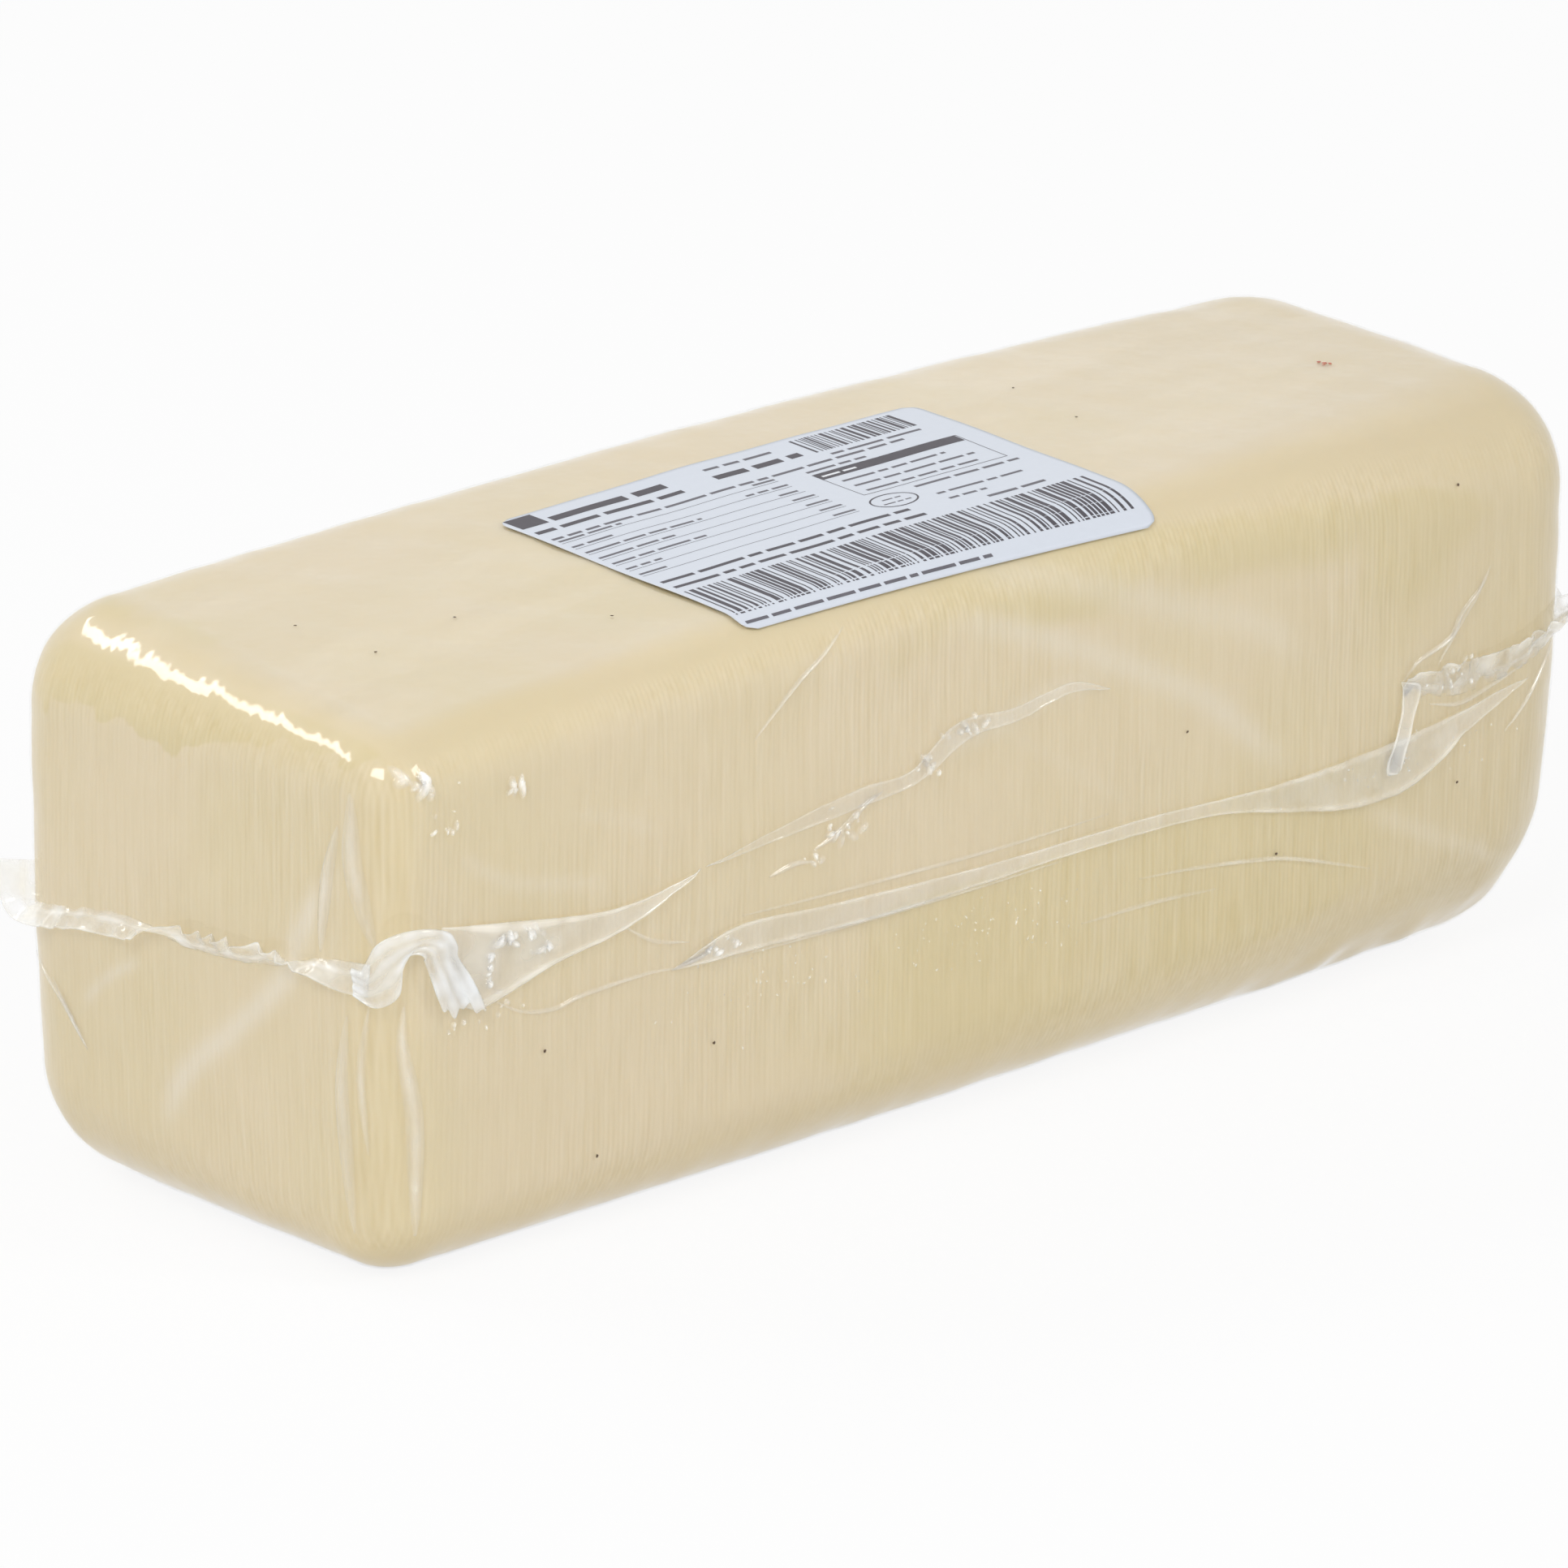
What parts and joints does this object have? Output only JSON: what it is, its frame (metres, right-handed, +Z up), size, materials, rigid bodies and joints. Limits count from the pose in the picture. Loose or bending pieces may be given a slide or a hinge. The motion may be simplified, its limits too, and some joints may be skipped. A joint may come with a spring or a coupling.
{
  "type": "gouda cheese loaf",
  "caption": "Rectangular loaf of young gouda with rounded corners, shrink-wrapped in clear film with ruffled end seals and a paper label bent over one top edge.",
  "frame": {"origin": "on the surface that the loaf rests on, under the centre of the box that the loaf and its film cover", "axes": "+X along the loaf towards its more rounded end, +Y towards the back, +Z up; the label is bent over the edge between the top and the -Y side"},
  "size_m": [0.3036, 0.1048, 0.1069],
  "materials": {
    "cheese": "pale yellow cheese, ribbed by its mould cloth, under tight glossy film",
    "film": "clear shrink film, milky where it is folded and welded",
    "label_paper": null
  },
  "bodies": {
    "root": {"bagged_loaf": "cheese", "end_seal_left": "film", "end_seal_right": "film", "label": "label_paper", "corner_flap_left": "film", "corner_flap_right": "film", "pleat_upper": "film", "pleat_lower": "film"}
  },
  "joints": []
}
